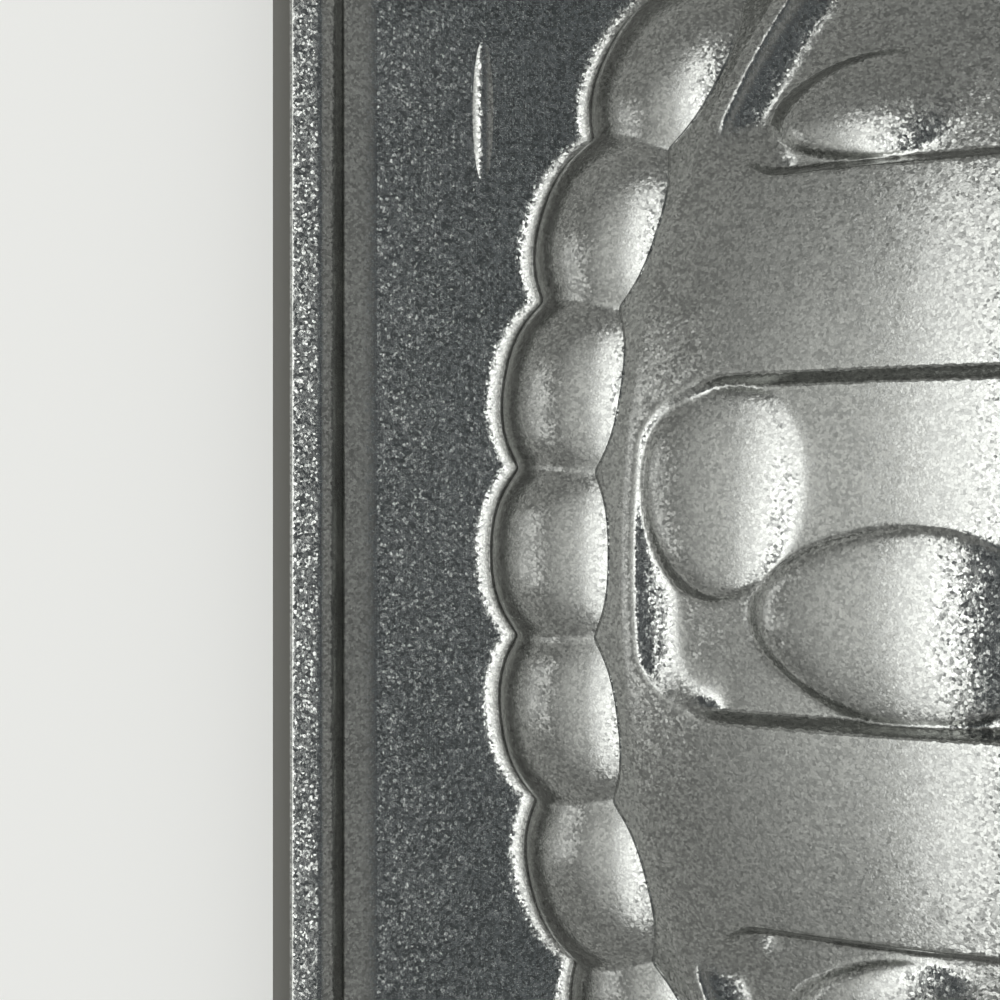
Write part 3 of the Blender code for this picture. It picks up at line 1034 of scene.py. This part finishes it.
def rounded(before, corner, after, radius, steps):
    """Points that round a corner of a section between its two neighbours."""
    start = corner + (before - corner).normalized() * radius
    end = corner + (after - corner).normalized() * radius
    return [bent(start, corner, end, step / steps) for step in range(steps + 1)]


def lip_section():
    """The lip's section: up its outer face, over the flat top, down its inner side to the plate's seam."""
    top = PLATE_THICKNESS + LIP_HEIGHT
    inner = Vector((LIP_FOOT, 0))
    outer = Vector((0, 0))
    brim = Vector((BRIM, top))
    section = rounded(inner, outer, brim, TOP_CORNER, 3)
    section += rounded(outer, brim, Vector((ROLL_START, top)), TOP_CORNER, 6)
    # Two rings beside the corners keep the shading of the flat top flat.
    for inward in (BRIM + BESIDE_BRIM, ROLL_START - BESIDE_ROLL, ROLL_START):
        section.append(Vector((inward, top)))
    section += inner_points[:ROLL_POINTS]
    section.append(Vector((LIP_FOOT, seam_height)))
    section.append(inner)
    return section


def make_lip():
    bm = bmesh.new()
    # The mask marks the outer flare, where the coat paints shade and gives a duller finish.
    shaded_dull_flare = bm.verts.layers.float.new("bare_edge")
    section = lip_section()
    start = first_ring(bm, edge_ring(*section[0]))
    ring = start
    for number, (inward, z) in enumerate(section[1:], 1):
        ring = grow(bm, ring, edge_ring(inward, z))
        for vertex in ring:
            vertex[shaded_dull_flare] = 1.0 if number in SHADED_DULL_RINGS else 0.0
    bmesh.ops.bridge_loops(bm, edges=ring_edges(bm, start) + ring_edges(bm, ring))
    return closed_mesh(bm, "raised_lip")


pieces.append(add_piece("raised_lip", make_lip(), "edge_lip"))

# %% [markdown]
# The plate
#
# The plate is flat on both sides, so it needs few faces: some rings sweep down from the lip, and the flat
# field inside them, with six egg-shaped holes, is filled with triangles in one call for each side. The holes
# share their outline with the collars of the wells, so that no line shows on the finished pan.

# %% Plate
def make_plate():
    bm = bmesh.new()
    outer_bottom = first_ring(bm, edge_ring(LIP_FOOT, 0))
    ring = grow(bm, outer_bottom, edge_ring(LIP_FOOT, seam_height))
    for inward, z in inner_points[ROLL_POINTS:]:
        ring = grow(bm, ring, edge_ring(inward, z))
    top_edges = ring_edges(bm, ring)
    bottom_edges = ring_edges(bm, outer_bottom)
    for shift in well_places():
        outline = [point + shift for point in level_ring(seam_spread, PLATE_THICKNESS)[::2]]
        hole = first_ring(bm, outline)
        low = grow(bm, hole, [point - Vector((0, 0, PLATE_THICKNESS)) for point in outline])
        top_edges += ring_edges(bm, hole)
        bottom_edges += ring_edges(bm, low)
    bmesh.ops.triangle_fill(bm, use_beauty=True, edges=top_edges, normal=(0, 0, 1))
    bmesh.ops.triangle_fill(bm, use_beauty=True, edges=bottom_edges, normal=(0, 0, -1))
    return closed_mesh(bm, "plain_plate")


pieces.append(add_piece("plain_plate", make_plate(), "plate"))

# %% [markdown]
# The silver coat
#
# The finish is a satin silver enamel loaded with metal flakes. Seen close, it is a grey ground with grains
# that flash where one happens to face the lamp. That is a matter of slope more than of colour. So each cell
# of a Voronoi pattern is one flake: its random colour, bent so that most values are small, is the tilt of a
# little plane, and the planes together are the height of a bump. The same colour makes each flake a little
# lighter or darker. A fine grit of noise lies over them. The flare outside the lip, which leans down over the
# table, gets painted shade: a much darker, browner colour that stands in for the shade it lies in there. It
# also gets a rougher, less metallic finish with calmer flakes, and a number painted on its mesh says where.
# One short raised sliver, a flaw of the casting, stands on the plate near the lip, beside the end of the left
# well in the middle row.

# %% The coat
FLAKE_SIZE = 0.00015
FLAKE_TILT = 0.062
GRIT_SIZE = 0.00012
GRIT_RELIEF = 0.0000050
HAZE_SIZE = 0.006
FLAW = (-0.08575, 0.0281)
FLAW_HALF_WIDTH = 0.00060
FLAW_HALF_LENGTH = 0.0041
FLAW_RELIEF = 0.00011
DARK_GROUND = (0.133, 0.137, 0.130, 1)
LIGHT_GROUND = (0.365, 0.373, 0.353, 1)
# Painted shade: a dark, brownish colour for the flare outside the lip, where it leans down over the table.
FLARE_PAINTED_SHADE = (0.044, 0.042, 0.031, 1)
SHADE_SHARE = 0.8
HAZE_SHARE = 0.3
COAT_ROUGHNESS = 0.145
GRIT_ROUGHNESS = 0.05
HAZE_ROUGHNESS = 0.04
BARE_ROUGHNESS = 0.50
COAT_METALLIC = 0.95
BARE_DULLNESS = 0.6
BARE_CALM = 0.9
CLEAR_COAT = 0.15
CLEAR_ROUGHNESS = 0.10


def silver_coat():
    paint = bpy.data.materials.new("silver_flake_coat")
    bench = Bench(paint)
    place = bench.node("ShaderNodeTexCoord", out="Object")
    shaded_dull_flare = bench.node("ShaderNodeAttribute", {"attribute_name": "bare_edge"}, out="Fac")

    def vectors(operation, first, second, third=(0, 0, 0), out="Vector"):
        settings = {"operation": operation}
        return bench.node("ShaderNodeVectorMath", settings, {0: first, 1: second, 2: third}, out=out)

    def grains(size, detail, roughness):
        return bench.node(
            "ShaderNodeTexNoise", None,
            {"Vector": place, "Scale": 1 / size, "Detail": detail, "Roughness": roughness},
        )

    cells = {"Vector": place, "Scale": 1 / FLAKE_SIZE}
    colour = bench.node("ShaderNodeTexVoronoi", None, cells, out="Color")
    centre = bench.node("ShaderNodeTexVoronoi", None, cells, out="Position")
    chance = vectors("MULTIPLY_ADD", colour, (2, 2, 2), (-1, -1, -1))
    tilt = vectors("MULTIPLY", chance, vectors("ABSOLUTE", chance, (0, 0, 0)))
    flakes = vectors("DOT_PRODUCT", tilt, vectors("SUBTRACT", place, centre), out="Value") * FLAKE_TILT
    grit = grains(GRIT_SIZE, 1.0, 0.5)
    haze = grains(HAZE_SIZE, 3.0, 0.55)
    across = bench.node("ShaderNodeSeparateXYZ", None, {"Vector": place}, out="X") - FLAW[0]
    along = bench.node("ShaderNodeSeparateXYZ", None, {"Vector": place}, out="Y") - FLAW[1]
    from_flaw = (across / FLAW_HALF_WIDTH) ** 2 + (along / FLAW_HALF_LENGTH) ** 2
    flaw = bench.clamped(1.0, 0.0, from_flaw) * FLAW_RELIEF
    relief_height = (flakes + grit * GRIT_RELIEF) * (1 - shaded_dull_flare * BARE_CALM) + flaw
    bump = bench.node("ShaderNodeBump", None, {"Strength": 1.0, "Distance": 1.0, "Height": relief_height})
    shade = bench.node("ShaderNodeSeparateXYZ", None, {"Vector": colour}, out="X")
    ground = bench.blend(shade * SHADE_SHARE + haze * HAZE_SHARE, DARK_GROUND, LIGHT_GROUND)
    shader = bench.tree.nodes["Principled BSDF"]
    # Painted shade: the mask darkens the flare outside the lip to stand in for the shade it lies in.
    bench.feed(shader.inputs["Base Color"], bench.blend(shaded_dull_flare, ground, FLARE_PAINTED_SHADE))
    roughness = COAT_ROUGHNESS + grit * GRIT_ROUGHNESS + haze * HAZE_ROUGHNESS + shaded_dull_flare * BARE_ROUGHNESS
    bench.feed(shader.inputs["Roughness"], roughness)
    bench.feed(shader.inputs["Normal"], bump)
    bench.feed(shader.inputs["Metallic"], COAT_METALLIC - shaded_dull_flare * BARE_DULLNESS)
    shader.inputs["Coat Weight"].default_value = CLEAR_COAT
    shader.inputs["Coat Roughness"].default_value = CLEAR_ROUGHNESS
    return paint


coat = silver_coat()
for piece in pieces:
    piece.data.materials.clear()
    piece.data.materials.append(coat)
print("coated", len(pieces), "pieces")
